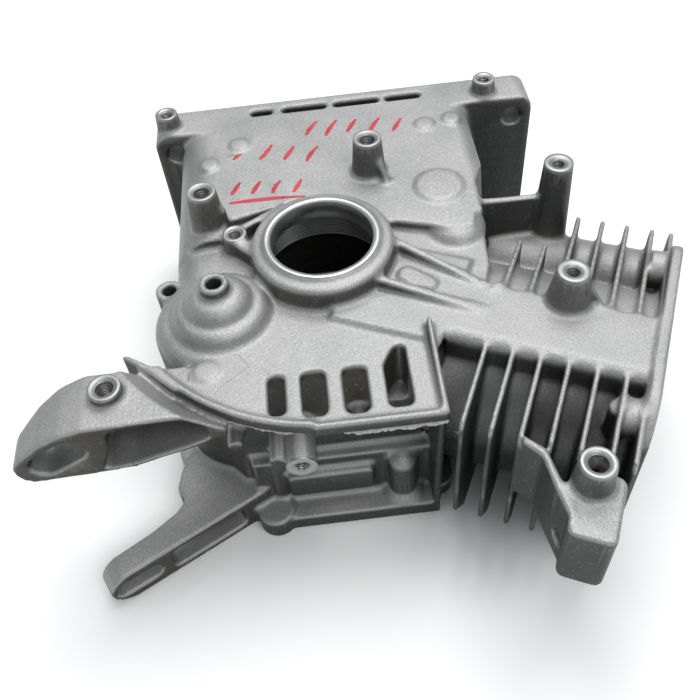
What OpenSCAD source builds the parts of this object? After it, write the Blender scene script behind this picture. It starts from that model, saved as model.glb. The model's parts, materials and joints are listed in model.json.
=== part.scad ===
// Bare engine block: crankcase, sump and inclined finned cylinder of a small
// single-cylinder engine, an aluminium casting round an iron cylinder liner.
//
// Frame: the origin is on the crank axis, at the mouth of the seal bore.
// +Z points along the crank axis to the flywheel side. +Y points down to the
// mounting base. The cylinder leans from +X towards -Y by cylinder_tilt.
// The node names that start with casting_ are regions of one casting. They
// meet face to face, without gaps, and are one piece on the real block.

/* [Crank bore] */
// Diameter of the bore that holds the crank seal
seal_bore_d = 41.25; // [36:0.05:46]
// Depth of the seal bore
seal_bore_depth = 9; // [7:0.5:12]
// Diameter of the bearing seat behind the seal
bearing_bore_d = 52; // [47:0.5:56]
// Depth of the bearing seat
bearing_bore_depth = 15; // [10:0.5:18]
// Width of the machined rim round the seal bore
rim_w = 2.8; // [1.5:0.1:4]
// Width of the cast collar outside the rim
collar_w = 5.5; // [3:0.1:8]

/* [Cylinder] */
// Bore of the liner
cylinder_bore_d = 70; // [56:0.5:72]
// Wall of the iron liner
liner_wall = 2.5; // [1.5:0.1:4]
// Aluminium wall round the liner
barrel_wall = 5; // [3.5:0.1:8]
// Angle of the cylinder axis above the X axis
cylinder_tilt = 25; // [20:1:30]
// Distance from the crank axis to the head gasket face
deck_height = 137; // [132:1:150]
// Depth of the cylinder axis below the seal bore mouth
cylinder_depth = 57; // [54:0.5:62]

/* [Fins] */
// Number of cooling fins
fin_count = 6; // [4:1:6]
// Distance from one fin to the next
fin_pitch = 10.2; // [8.5:0.1:10.8]
// Thickness of a fin
fin_t = 2; // [1.4:0.1:3]
// Distance from the cylinder axis to the tip of a fin
fin_reach = 63; // [58:1:70]

/* [Crankcase] */
// Height of the crankcase, from the sump's upper face to the cover face
case_h = 97; // [92:0.5:104]
// Wall of the crankcase
case_wall = 5; // [4:0.1:7]
// Drop from the seal bore mouth to the sump's upper face
sump_drop = 7.5; // [6:0.5:9]
// Drop from the seal bore mouth to the shroud plate
plate_drop = 13; // [12:0.5:15]
// Thickness of the cover flange
cover_flange_t = 9; // [6:0.5:12]

/* [Base] */
// Distance from the crank axis to the mounting face
crank_height = 106; // [104:1:118]
// Spacing of the base holes along X
base_hole_dx = 162; // [156:0.5:168]
// Spacing of the base holes along Z
base_hole_dz = 75.5; // [70:0.5:80]
// Diameter of the base holes
base_hole_d = 9; // [7:0.5:11]
// Thickness of the base flange
base_t = 19; // [16:0.5:24]

/* [Shroud plate] */
// Radius of the plate's curved edge round the crank axis
shroud_r = 83.5; // [80:0.5:88]
// Thickness of the shroud plate
plate_t = 3.5; // [2.5:0.5:5]
// Width of the lip round the shroud plate
lip_w = 2.5; // [1.5:0.5:4]
// Height of the lip above the shroud plate
lip_h = 2.5; // [1:0.5:4]

/* [Arms] */
// Height of the arm on the flywheel side
upper_arm_h = 29; // [24:0.5:32]
// Height of the arm on the cover side
lower_arm_h = 20; // [16:0.5:24]
// Length of the slot in each arm
arm_slot_l = 24; // [18:0.5:26]
// Width of the slot in each arm
arm_slot_w = 9; // [6:0.5:11]

/* [Threads] */
// Drilled diameter of the small threaded holes
small_drill_d = 5; // [4:0.1:5.5]
// Drilled diameter of the large threaded holes
large_drill_d = 6.8; // [6:0.1:7.5]

/* [Hidden] */

eps = 0.5;
round_fn = 96;
small_fn = 48;

// Levels along Z
sump_z = -sump_drop;
plate_z = -plate_drop;
deck_z = plate_z + 2;
cover_z = sump_z - case_h;
flange_z = cover_z + cover_flange_t;
axis_z = -cylinder_depth;
top_wall = case_wall + 1;
chamber_h = plate_z - top_wall - cover_z;

// Crank bore
seal_r = seal_bore_d / 2;
bearing_r = bearing_bore_d / 2;
rim_r = seal_r + rim_w;
collar_r = max(rim_r + collar_w, bearing_r + 2.5);
rim_h = 2;
bearing_mouth_z = -seal_bore_depth - bearing_bore_depth;
hub_r = bearing_r + case_wall + 1;

// Barrel
bore_r = cylinder_bore_d / 2;
liner_r = bore_r + liner_wall;
barrel_r = liner_r + barrel_wall;
barrel_start = 58;
flange_t = 5.5;
flange_start = deck_height - flange_t;
deck_front = -27;
step_front = -32;
deck_back = 3;
fin_gap = fin_pitch - fin_t;
fin_first = flange_start - fin_gap + 2.5 - (fin_count - 1) * fin_pitch - fin_t;
tunnel_n = barrel_r + 11.5;
tunnel_z = axis_z + 11;
tunnel_r = 14;
liner_spigot = 8;
fin_cut_n = 36;
pad_s = fin_first + (fin_count - 1) * fin_pitch + 1;
pad_n = -37.5;
head_boss_r = 7.5;
head_boss_h = flange_start - (fin_first + (fin_count - 1) * fin_pitch + fin_t);
liner_start = barrel_start - liner_spigot;

// Crankcase outline, seen along the crank axis
case_left = -63;
case_right = 66;
front_wall = -57;
case_split = 12;
shoulder_r = 13;
dome_x = -42.4;
dome_y = -23.8;
dome_bulge_r = 27.5;
governor_r = 3.1;
hub_lug = [-35.3, 10.5];
hub_lug_top = -3;
lug_x = -64.3;
lug_y = -5.5;
cam_x = 52.5;
cam_y = 30;
cam_r = 11.5;
bulge_x = 56.5;
bulge_y = 10;
bulge_r = 12.5;
cover_lip = 8;
cover_pad_r = 8;
cover_pad_h = cover_flange_t + 2.5;
cover_front = front_wall - 15.6;
side_plate_x = 34.5;
side_plate_t = 3;
column_h = 32;

// Base
base_inner = crank_height - base_t;
base_mid_x = 16.5;
base_margin_x = 9.25;
base_w = base_hole_dx + 2 * base_margin_x;
base_left = base_mid_x - base_w / 2;
base_right = base_mid_x + base_w / 2;
base_mid_z = (sump_z + cover_z) / 2;
base_wall = 6;
base_pad_r = 9;
sump_right_top = 75;
sump_draft = 14;

// Bosses on the flywheel side: x, y, top, radius
coil_top = 10;
coil_posts = [[-46.6, 23.3], [23.9, 45.6]];
fan_low_posts = [[-66, base_inner + 7.5], [84.2, base_inner + 7]];
stay_top = 5;
boss_r = 6.1;
stay_s = 82;
stay_n = 62;
deck_post_s = deck_height - 38.5;
deck_post_n = 2.5;
bracket_s = deck_height - 17;
bracket_n = -72.5;

// Arms
upper_arm_top = -5;
upper_arm_face = -76;
upper_arm_slot_x = -103;
upper_arm_slot_tilt = 30;
upper_arm_yaw = 1;
lower_arm_yaw = 28.5;
plate_left_y = -47.5;
side_lip_h = 8;
lower_arm_tip = [-101.5, -98.5];

// Cover and head fixings
cover_bolts = [[-33.5, -67.5], [22.5, -63.5], [-69, -51], [-69, 22],
    [-48, base_inner - 7], [40, base_inner - 7], [84, 44]];
head_bolt_dn = 76;
head_bolt_dz = 72;

// Drain plugs, one at each end of the sump
drain_thread_r = 5;
drain_head_r = 7.2;
drain_boss_r = 9;
drain_boss_h = 3;
drain_y = base_inner - 10;
drain_z = cover_z + cover_flange_t + 12;
drain_right = sump_right_top + sump_draft - 4;
plug_l = 13;
plug_gap = 0.15;
washer_t = 1.5;

// Places what follows in the cylinder's frame: X along the cylinder axis,
// Y across it towards the base, Z as before.
module along_cylinder() {
    rotate([0, 0, -cylinder_tilt]) children();
}

// A cylinder along the cylinder axis, from one distance to another
module axis_cylinder(from, to, r, n = 0, z = 0, fn = round_fn) {
    translate([from, n, z]) rotate([0, 90, 0]) cylinder(h = to - from, r = r, $fn = fn);
}

// A cylinder along Y
module y_cylinder(x, z, from, to, r, fn = small_fn) {
    translate([x, to, z]) rotate([90, 0, 0]) cylinder(h = to - from, r = r, $fn = fn);
}

// A box given by its two corners
module span(low, high) {
    translate(low) cube(high - low);
}

// An outline in X and Z, pushed along Y from one value to another
module push_y(from, to) {
    translate([0, to, 0]) rotate([90, 0, 0]) linear_extrude(to - from) children();
}

// An outline in Y and Z of the cylinder's frame, pushed along its axis
module push_axis(from, to) {
    translate([from, 0, 0]) rotate([90, 0, 90]) linear_extrude(to - from) children();
}

// Points of an arc
function arc(cx, cy, r, from, to, steps = 8) =
    [for (i = [0:steps]) let (a = from + (to - from) * i / steps) [cx + r * cos(a), cy + r * sin(a)]];

// A rectangle with round corners, given by its two corners
module round_rect(low, high, r) {
    polygon(concat(
        arc(high[0] - r, high[1] - r, r, 0, 90),
        arc(low[0] + r, high[1] - r, r, 90, 180),
        arc(low[0] + r, low[1] + r, r, 180, 270),
        arc(high[0] - r, low[1] + r, r, 270, 360)));
}

// A straight slot with round ends, centred on the origin
module slot_2d(l, w) {
    square([l - w, w], center = true);
    for (side = [-1, 1]) translate([side * (l - w) / 2, 0]) circle(d = w, $fn = small_fn);
}

// Outline of the crankcase in front of the sump
module front_outline() {
    front_block_outline();
    difference() {
        translate([dome_x, dome_y]) circle(r = dome_bulge_r, $fn = round_fn);
        translate([-200, case_split]) square([400, 100]);
    }
}

module front_block_outline() {
    polygon([[case_left, case_split], [case_left, -20], [-52, -48], [-44, front_wall],
        [side_plate_x + side_plate_t, front_wall], [side_plate_x + side_plate_t, -44],
        [case_right - 4, -24], [case_right, -14], [case_right + 2, case_split]]);
}

// Section of the front block, seen along Y, with a round left shoulder
module front_section() {
    polygon(concat(
        [[case_left, cover_z]],
        arc(case_left + shoulder_r, plate_z - shoulder_r, shoulder_r, 180, 90),
        [[100, plate_z], [100, cover_z]]));
}

// Outline of the sump, behind the crank
module sump_outline() {
    polygon([[case_left, case_split], [case_right + 2, case_split], [case_right + 2.5, 32],
        [sump_right_top + sump_draft, base_inner], [case_left, base_inner]]);
}

// Section of the sump, seen along Y: round shoulders and one drafted side
module sump_section(inset = 0) {
    left_r = 18 - inset;
    right_r = 9 - inset;
    low_x = case_left + inset;
    top = sump_z - inset;
    top_x = sump_right_top - inset;
    polygon(concat(
        [[low_x, cover_z - eps]],
        arc(low_x + left_r, top - left_r, left_r, 180, 90),
        arc(top_x - right_r, top - right_r, right_r, 90, 8),
        [[sump_right_top + sump_draft - inset, cover_z - eps]]));
}

// Outline of the joint face that carries the side cover
module cover_outline() {
    difference() {
        union() {
            offset(r = cover_lip) {
                union() {
                    front_outline();
                    sump_outline();
                }
            }
            for (p = cover_bolts) translate(p) circle(r = cover_pad_r, $fn = small_fn);
            translate([-30, cover_front]) square([30 + side_plate_x + side_plate_t, 20]);
        }
        translate([-200, base_inner]) square([400, 60]);
        translate([-25, cover_front - 60]) square([400, 60]);
        rotate(-cylinder_tilt) translate([barrel_start + 12, -80]) square([60, 120]);
    }
}

// Hollow of the crank chamber
module chamber_outline() {
    offset(delta = -case_wall) {
        union() {
            front_outline();
            translate([0, -eps]) sump_outline();
        }
    }
}

module threaded(x, y, top, d, depth) {
    translate([x, y, top - depth]) cylinder(h = depth + eps, d = d, $fn = small_fn);
    translate([x, y, top - 0.8]) cylinder(h = 0.9, r1 = d / 2, r2 = d / 2 + 1, $fn = small_fn);
}

// Space that the cylinder takes: barrel, pushrod tunnel and upper deck
module barrel_body(from, to) {
    axis_cylinder(from, to, barrel_r, 0, axis_z);
    axis_cylinder(from, to, tunnel_r, tunnel_n, tunnel_z);
    push_axis(from, to) barrel_links();
}

// Section of the deck and of the web between barrel and tunnel
module barrel_links() {
    polygon(concat(
        [[deck_back, axis_z + 20], [deck_back, deck_z]],
        arc(deck_front + 5, deck_z - 5, 5, 90, 180),
        [[deck_front, axis_z + 20]]));
    polygon([[25, axis_z], [25, axis_z + 20], [tunnel_n, tunnel_z + 6], [tunnel_n, tunnel_z - 12]]);
}

module cylinder_hole(from, to) {
    axis_cylinder(from, to, liner_r, 0, axis_z);
}

module pushrod_hole(from, to) {
    axis_cylinder(from, to, tunnel_r - 5, tunnel_n, tunnel_z, small_fn);
}

// Everything that the crankcase takes up, before it is hollowed
module case_envelope() {
    intersection() {
        translate([0, 0, cover_z]) linear_extrude(plate_z - cover_z) front_block_outline();
        push_y(-80, case_split) front_section();
    }
    dome_bulge();
    translate([0, 0, cover_z]) linear_extrude(cover_flange_t) cover_outline();
    cover_pads();
}

// Round bulge of the case below the governor dome
module dome_bulge() {
    edge = 7;
    translate([dome_x, dome_y, 0]) rotate_extrude($fn = round_fn) {
        polygon(concat([[0, cover_z], [0, plate_z]],
            arc(dome_bulge_r - edge, plate_z - edge, edge, 90, 0), [[dome_bulge_r, cover_z]]));
    }
}

// Space inside the crank chamber
module chamber() {
    translate([0, 0, cover_z - eps]) linear_extrude(chamber_h + eps) {
        intersection() {
            chamber_outline();
            translate([-200, -200]) square([400, 200 + case_split + 1]);
        }
    }
}

module casting_crankcase() {
    color("#c3c7ca")
    difference() {
        union() {
            case_envelope();
            upper_step();
            deck_step();
            flywheel_ribs();
            edge_lug();
            front_bosses();
            side_plate();
        }
        along_cylinder() barrel_body(barrel_start, flange_start);
        difference() {
            chamber();
            window_pocket_wall();
        }
        hub_and_dome_space();
        side_bulge();
        along_cylinder() cylinder_hole(20, barrel_start + eps);
        along_cylinder() pushrod_hole(48, barrel_start + eps);
        sump_space();
        cover_holes();
        front_boss_holes();
        edge_lug_hole();
        window_pocket();
        governor_hole();
    }
}

// Step up from the crankcase to the sump's level, right of the hub
module upper_step() {
    translate([0, 0, plate_z - 1]) linear_extrude(sump_z - plate_z + 1) {
        polygon([[20, case_split + 3], [20, case_split - 0.5], [31, case_split - 0.2], [43, 8], [52, 4.5],
            [case_right - 3, 4.5], [case_right - 1, case_split + 3]]);
    }
}

// Recess of the front wall behind the widest window
module window_pocket() {
    translate([0, 0, plate_z - 24]) linear_extrude(25) {
        intersection() {
            wide_window();
            translate([0, front_wall - 1]) square(40);
        }
    }
}

// Wall left round that recess, inside the crank chamber
module window_pocket_wall() {
    span([10, front_wall, plate_z - 29], [33.5, front_wall + 13, plate_z]);
}

// Hole for the governor shaft, from the dome's boss into the crank chamber
module governor_hole() {
    translate([dome_x, dome_y, plate_z - 30]) cylinder(h = 31, r = governor_r, $fn = small_fn);
}

// What the sump region takes up, cut out of the crankcase region
module sump_space() {
    span([-150, case_split, cover_z - eps], [150, 150, sump_z + 40]);
}

// Pieces of the flywheel side that are regions of their own
module hub_and_dome_space() {
    translate([0, 0, -30]) cylinder(h = 60, r = collar_r + 0.8, $fn = round_fn);
    translate([dome_x, dome_y, plate_z]) cylinder(h = 30, r = 20, $fn = round_fn);
}

// Raised deck that runs from the hub to the cylinder
module deck_step() {
    along_cylinder() {
        push_axis(14, barrel_start) {
            polygon([[step_front, plate_z - 1], [step_front + 2, deck_z], [14, deck_z], [14, plate_z - 1]]);
        }
    }
}

// Two tapering ribs that tie the hub to the cylinder, and a low pad
module flywheel_ribs() {
    rib([29, -2], [65, -29], 3.4, -4, deck_z - 0.5);
    rib([20, -21], [65, -42.5], 3.6, -5, deck_z - 0.5);
    translate([35.5, -20, deck_z - 1]) rotate([0, 0, -42]) {
        linear_extrude(2.5) round_rect([-8, -3.5], [8, 3.5], 3);
    }
}

// A rib of even width whose top falls from one end to the other
module rib(from, to, w, high, low) {
    run = norm(to - from);
    translate([from[0], from[1], 0])
    rotate([0, 0, atan2(to[1] - from[1], to[0] - from[0])])
    rotate([90, 0, 0])
    translate([0, 0, -w / 2])
    linear_extrude(w) {
        polygon([[-3, plate_z - 2], [-3, high], [run, low], [run, plate_z - 2]]);
    }
}

// Lug at the left edge of the case
module edge_lug() {
    translate([lug_x, lug_y, plate_z - 22]) cylinder(h = 20, r = 5.6, $fn = small_fn);
}

module edge_lug_hole() {
    translate([lug_x, lug_y, plate_z - 23]) cylinder(h = 30, r = 3, $fn = small_fn);
}

// Vertical plate that closes the right end of the front recess
module side_plate() {
    translate([side_plate_x, 0, 0]) rotate([90, 0, 90]) linear_extrude(side_plate_t) {
        polygon([[front_wall + 1, cover_z], [front_wall - 15, cover_z], [front_wall - 22, plate_z - 16],
            [front_wall - 24.5, plate_z - plate_t], [front_wall + 1, plate_z - plate_t]]);
    }
}

// Bosses, rods and strips on the recessed front wall
module front_bosses() {
    y_cylinder(-17.6, -46, front_wall - 20, front_wall + 1, 6.2);
    y_cylinder(-27, -46, front_wall - 17, front_wall + 1, 3);
    y_cylinder(6.4, -40, front_wall - 12, front_wall + 1, 3);
    y_cylinder(-43, -46, front_wall - 8, front_wall + 1, 3.2);
    push_y(front_wall - 9, front_wall + 1) round_rect([-26, -88], [10, -73], 2);
    push_y(front_wall - 5, front_wall + 1) {
        polygon([[-40, cover_z], [-40, -66], [side_plate_x + 1, -66], [side_plate_x + 1, cover_z]]);
    }
    translate([cover_bolts[1][0], cover_bolts[1][1], cover_z]) cylinder(h = column_h, r = 6, $fn = small_fn);
    translate([cover_bolts[1][0], cover_bolts[1][1], cover_z + column_h]) sphere(r = 6, $fn = small_fn);
    span([-31.5, front_wall - 6, -92], [-28, front_wall + 1, -62]);
}

module front_boss_holes() {
    y_cylinder(-17.6, -46, front_wall - 21, front_wall - 4, small_drill_d / 2);
}

// Round pads over the blind holes of the cover bolts
module cover_pads() {
    for (p = cover_bolts) {
        translate([p[0], p[1], cover_z]) cylinder(h = cover_pad_h, r = cover_pad_r, $fn = small_fn);
    }
}

module cover_holes() {
    for (p = cover_bolts) {
        translate([p[0], p[1], cover_z - eps]) {
            cylinder(h = cover_pad_h - 3 + eps, d = large_drill_d, $fn = small_fn);
        }
    }
}

// The sump, from the crank chamber back to the base
module casting_sump() {
    color("#c6c9cb")
    difference() {
        union() {
            intersection() {
                translate([0, 0, cover_z]) linear_extrude(case_h) sump_outline();
                push_y(case_split, base_inner) sump_section();
            }
            translate([0, 0, cover_z]) linear_extrude(cover_flange_t) {
                intersection() {
                    cover_outline();
                    translate([-200, case_split]) square([400, base_inner - case_split]);
                }
            }
            intersection() {
                cover_pads();
                span([-150, case_split, cover_z], [150, base_inner, 0]);
            }
            cam_boss();
            side_bulge();
            coil_post(coil_posts[0], -10);
            coil_post(coil_posts[1], -50);
            sump_pads();
            drain_boss(-1);
            drain_boss(1);
        }
        difference() {
            intersection() {
                translate([0, 0, cover_z - eps]) linear_extrude(chamber_h + eps) chamber_outline();
                push_y(case_split - eps, base_inner - case_wall) sump_section(case_wall);
            }
            cover_pads();
        }
        lower_step();
        for (p = coil_posts) threaded(p[0], p[1], coil_top, large_drill_d, 16);
        bearing_hub_cut();
        cover_holes();
        drain_hole(-1);
        drain_hole(1);
        along_cylinder() barrel_body(barrel_start, flange_start);
        along_cylinder() pushrod_hole(36, barrel_start + eps);
        along_cylinder() cylinder_hole(20, barrel_start + eps);
    }
}

// Step down from the sump's level to the crankcase, left of the hub
module lower_step() {
    translate([0, 0, plate_z]) linear_extrude(20) {
        polygon([[case_left - 1, case_split - 1], [case_left - 1, 17], [-57, 19.5], [-54, 12.5], [-40, 13.5],
            [-38, 23.5], [-16, 29.7], [0, 33], [0, case_split - 1]]);
    }
}

module bearing_hub_cut() {
    translate([0, 0, -60]) cylinder(h = 90, r = collar_r + 0.8, $fn = round_fn);
}

// Low round boss over the end of the camshaft
module cam_boss() {
    translate([cam_x, cam_y, 0]) rotate_extrude($fn = round_fn) {
        polygon(concat([[0, sump_z - 3], [0, sump_z + 1.5]],
            arc(cam_r - 3, sump_z - 1.5, 3, 90, 20), [[cam_r, sump_z - 3]]));
    }
}

// Round bulge of the side wall beside the camshaft
module side_bulge(inset = 0) {
    edge = 6;
    top = sump_z - 1 - inset;
    translate([bulge_x, bulge_y, 0]) rotate_extrude($fn = round_fn) {
        polygon(concat([[0, -55], [0, top]],
            arc(bulge_r - inset - edge, top - edge, edge, 90, 0), [[bulge_r - inset, -55]]));
    }
}

// Tapered post for the ignition coil
module coil_post(p, gusset_angle) {
    translate([p[0], p[1], sump_z - 4]) {
        cylinder(h = coil_top - sump_z + 4, r1 = boss_r + 1.7, r2 = boss_r, $fn = small_fn);
    }
    translate([p[0], p[1], sump_z - 1]) rotate([0, 0, gusset_angle]) rotate([90, 0, 0]) {
        translate([0, 0, -1.5]) linear_extrude(3) polygon([[0, 0], [13, 0], [boss_r, 12], [0, 12]]);
    }
}

// Round pads left by the mould's ejector pins
module sump_pads() {
    for (p = [[-33, -13], [53, -13], [-47, -25], [66, -11]]) {
        translate([p[0], base_inner + p[1], sump_z - 1]) cylinder(h = 2.2, r = 4, $fn = small_fn);
    }
}

// Base flange with a hollow underside
module casting_base() {
    color("#b9bdc0")
    difference() {
        union() {
            difference() {
                push_y(base_inner, crank_height) {
                    round_rect([base_left, cover_z], [base_right, sump_z], 7);
                }
                difference() {
                    push_y(base_inner + base_wall + 1, crank_height + eps) {
                        round_rect([base_left + base_wall, cover_z + base_wall],
                            [base_right - base_wall, sump_z - base_wall], 4);
                    }
                    base_pads();
                }
            }
            for (p = fan_low_posts) {
                translate([p[0], p[1], sump_z - 3]) {
                    cylinder(h = 3 - sump_z, r1 = boss_r, r2 = boss_r - 0.9, $fn = small_fn);
                }
            }
        }
        base_hole_pattern(base_hole_d / 2);
        base_slots();
        for (p = fan_low_posts) threaded(p[0], p[1], 0, small_drill_d, 12);
    }
}

// Solid columns round the mounting holes
module base_pads() {
    base_hole_pattern(base_pad_r);
}

module base_hole_pattern(r) {
    for (sx = [-1, 1]) {
        for (sz = [-1, 1]) {
            y_cylinder(base_mid_x + sx * base_hole_dx / 2, base_mid_z + sz * base_hole_dz / 2,
                base_inner - eps, crank_height + eps, r);
        }
    }
}

// Long slots in the upper edge of the base
module base_slots() {
    for (s = [[-22, 11], [-1.5, 22], [23.5, 22.5], [46, 17.5]]) {
        translate([s[0], crank_height - 8, sump_z - base_wall - 1]) linear_extrude(base_wall + 2) {
            slot_2d(s[1], 4.2);
        }
    }
}

// Places a drain plug or its hole on the boss at one end of the sump
module at_drain(side) {
    x = side < 0 ? case_left - drain_boss_h : drain_right + drain_boss_h;
    translate([x, drain_y, drain_z]) rotate([0, side * 90, 0]) children();
}

module drain_boss(side) {
    at_drain(side) translate([0, 0, -drain_boss_h - 4]) {
        cylinder(h = drain_boss_h + 4, r = drain_boss_r, $fn = small_fn);
    }
}

module drain_hole(side) {
    at_drain(side) translate([0, 0, -drain_boss_h - 12]) {
        cylinder(h = drain_boss_h + 13, r = drain_thread_r + plug_gap, $fn = small_fn);
    }
}

// Hub round the crank bore, with the seal bore and the bearing seat
module casting_bearing_hub() {
    color("#cfd2d4")
    difference() {
        union() {
            rotate_extrude($fn = round_fn) {
                polygon(concat(
                    [[0, 0], [rim_r, 0], [rim_r + 0.6, -rim_h]],
                    arc(collar_r - 2.5, -rim_h - 2.5, 2.5, 90, 10),
                    [[collar_r + 0.8, plate_z - top_wall], [0, plate_z - top_wall]]));
            }
            translate([0, 0, bearing_mouth_z]) {
                cylinder(h = plate_z - top_wall - bearing_mouth_z, r = hub_r, $fn = round_fn);
            }
            hub_lugs();
        }
        translate([0, 0, bearing_mouth_z]) cylinder(h = 1 - bearing_mouth_z, r = seal_r, $fn = round_fn);
        translate([0, 0, bearing_mouth_z - 1]) {
            cylinder(h = bearing_bore_depth + 1, r = bearing_r, $fn = round_fn);
        }
        threaded(hub_lug[0], hub_lug[1], hub_lug_top, small_drill_d, hub_lug_top - plate_z - 1);
    }
}

// Small threaded lug and bars tied into the hub's left side
module hub_lugs() {
    difference() {
        union() {
            translate([hub_lug[0], hub_lug[1], plate_z]) {
                cylinder(h = hub_lug_top - plate_z, r1 = 5.6, r2 = 5, $fn = small_fn);
            }
            rib_bar([hub_lug[0], 8], [-23, -5], 5, -4);
            rib_bar([-36, 14], [-14, 27.5], 3, -5);
            rib_bar([-35, -19], [-20, -9.5], 4.5, -3.5);
        }
        translate([0, 0, plate_z - 30]) cylinder(h = 60, r = collar_r - 1, $fn = round_fn);
        translate([dome_x, dome_y, plate_z - 1]) cylinder(h = 30, r = 20, $fn = round_fn);
        span([-70, -60, plate_z - 20], [70, 60, plate_z]);
    }
}

// A bar of even width between two points, with a flat top
module rib_bar(from, to, w, top) {
    run = norm(to - from);
    translate([from[0], from[1], plate_z]) rotate([0, 0, atan2(to[1] - from[1], to[0] - from[0])]) {
        translate([0, -w / 2, 0]) cube([run, w, top - plate_z]);
    }
}

// Stepped dome with a bored boss, over the governor
module casting_governor_dome() {
    color("#c8cbcd")
    translate([dome_x, dome_y, 0])
    rotate_extrude($fn = round_fn) {
        polygon(concat(
            [[governor_r, plate_z], [governor_r, 4.4], [governor_r + 0.6, 5], [5.7, 5], [5.7, -0.6]],
            arc(6.5, -6.6, 6.4, 75, 5),
            [[13.4, -6.9]],
            arc(14, -11.9, 5.2, 75, 8),
            [[20, plate_z + 0.4], [20, plate_z]]));
    }
}

module casting_barrel() {
    color("#c0c4c7")
    difference() {
        union() {
            along_cylinder() barrel_body(barrel_start, flange_start);
            deck_post();
        }
        along_cylinder() cylinder_hole(barrel_start - 1, flange_start + 1);
        along_cylinder() pushrod_hole(barrel_start - 1, flange_start + 1);
        along_cylinder() threaded(deck_post_s, deck_post_n, stay_top, small_drill_d, 15);
        along_cylinder() stay_post_space();
    }
}

// Post on the deck, with a small gusset
module deck_post() {
    along_cylinder() translate([deck_post_s, deck_post_n, deck_z - 2]) {
        cylinder(h = stay_top - deck_z + 2, r1 = boss_r + 3, r2 = boss_r, $fn = small_fn);
        rotate([90, 0, 0]) translate([0, 0, -3]) {
            linear_extrude(2.5) polygon([[0, 0], [14, 0], [boss_r, 13], [0, 13]]);
        }
    }
}

// Outline of one fin, seen along the cylinder axis
module fin_outline() {
    polygon([[-12, deck_z - 1], [deck_front, deck_z - 1],
        [3 - fin_reach, deck_z - 3], [-fin_reach, deck_z - 6],
        [-fin_reach - 1, axis_z - 16], [-fin_reach + 14, axis_z - 38], [-20, cover_z + 5],
        [fin_reach - 18, cover_z + 5], [fin_reach, axis_z - 34], [fin_reach, deck_z - 14],
        [fin_reach - 3, deck_z - 9], [6, deck_z - 1]]);
}

module casting_fins() {
    color("#aeb3b6")
    difference() {
        along_cylinder() {
            for (i = [0:fin_count - 1]) {
                push_axis(fin_first + i * fin_pitch, fin_first + i * fin_pitch + fin_t) {
                    difference() {
                        fin_outline();
                        if (fin_first + i * fin_pitch < stay_s + 6) {
                            translate([fin_cut_n, axis_z]) square(80);
                        }
                    }
                }
            }
            translate([pad_s, pad_n, deck_z - 22]) cylinder(h = 17, r = 4.3, $fn = small_fn);
        }
        along_cylinder() barrel_body(barrel_start - 5, flange_start);
        along_cylinder() bracket_space();
        along_cylinder() stay_post_space();
        along_cylinder() head_bosses();
        translate([0, 0, cover_z - 1]) linear_extrude(cover_flange_t + 1) cover_outline();
        deck_post();
    }
}

// Flange that carries the cylinder head: a fin with a thick face on it
module casting_head_flange() {
    color("#b6babd")
    difference() {
        along_cylinder() {
            push_axis(flange_start, flange_start + fin_t) fin_outline();
            push_axis(flange_start + fin_t / 2, deck_height) head_outline();
            difference() {
                head_bosses();
                barrel_body(barrel_start, flange_start);
            }
        }
        along_cylinder() cylinder_hole(flange_start - 1, deck_height + 1);
        along_cylinder() pushrod_hole(flange_start - 1, deck_height + 1);
        along_cylinder() head_holes(large_drill_d / 2, flange_t + head_boss_h - 2);
        translate([0, 0, cover_z - 1]) linear_extrude(2) square(400, center = true);
    }
}

module head_outline() {
    low_n = -head_bolt_dn / 2 - 9;
    high_n = tunnel_n + tunnel_r;
    low_z = axis_z - head_bolt_dz / 2 - 7;
    polygon(concat(
        arc(high_n - 14, tunnel_z, 14, -60, 45),
        arc(head_bolt_dn / 2, deck_z - 6.5, 8, 45, 90),
        arc(low_n + 18, deck_z - 16.5, 18, 90, 180),
        arc(low_n + 10, low_z + 10, 10, 180, 270),
        arc(head_bolt_dn / 2, low_z + 9, 9, 270, 360)));
}

module head_holes(r, depth) {
    at_head_bolts() translate([deck_height - depth, 0, 0]) rotate([0, 90, 0]) {
        cylinder(h = depth + eps, r = r, $fn = small_fn);
    }
}

// Short bosses that give the head bolts their depth
module head_bosses() {
    at_head_bolts() translate([flange_start - head_boss_h, 0, 0]) rotate([0, 90, 0]) {
        cylinder(h = head_boss_h + eps, r = head_boss_r, $fn = small_fn);
    }
}

module at_head_bolts() {
    for (sn = [-1, 1]) {
        for (sz = [-1, 1]) {
            translate([0, sn * head_bolt_dn / 2, axis_z + sz * head_bolt_dz / 2]) children();
        }
    }
}

// Plate with four windows that closes the fan shroud
module casting_shroud_plate() {
    color("#cdd0d2")
    difference() {
        union() {
            translate([0, 0, plate_z - plate_t]) linear_extrude(plate_t) shroud_outline();
            translate([0, 0, plate_z - plate_t]) linear_extrude(plate_t + lip_h) {
                difference() {
                    shroud_outline();
                    shroud_outline(lip_w);
                    translate([side_plate_x - 3, -70]) square(40);
                }
            }
            shroud_wing();
            side_lip();
        }
        translate([0, 0, plate_z - 20]) linear_extrude(40) shroud_windows();
        translate([0, 0, plate_z - 40]) linear_extrude(40) front_outline();
        translate([0, 0, -60]) cylinder(h = 90, r = collar_r + 0.8, $fn = round_fn);
        deck_step();
    }
}

// The plate ends in an arc round the crank axis and a straight front edge
module shroud_outline(inset = 0) {
    right = side_plate_x + side_plate_t - inset;
    difference() {
        intersection() {
            union() {
                circle(r = shroud_r - inset, $fn = round_fn);
                translate([-10, -shroud_r - 0.7 + inset]) square([10 + right, 50]);
            }
            translate([-100, -shroud_r - 5]) square([100 + right, shroud_r - 35]);
        }
        translate([-100, plate_left_y]) square([80, 50]);
    }
}

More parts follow.
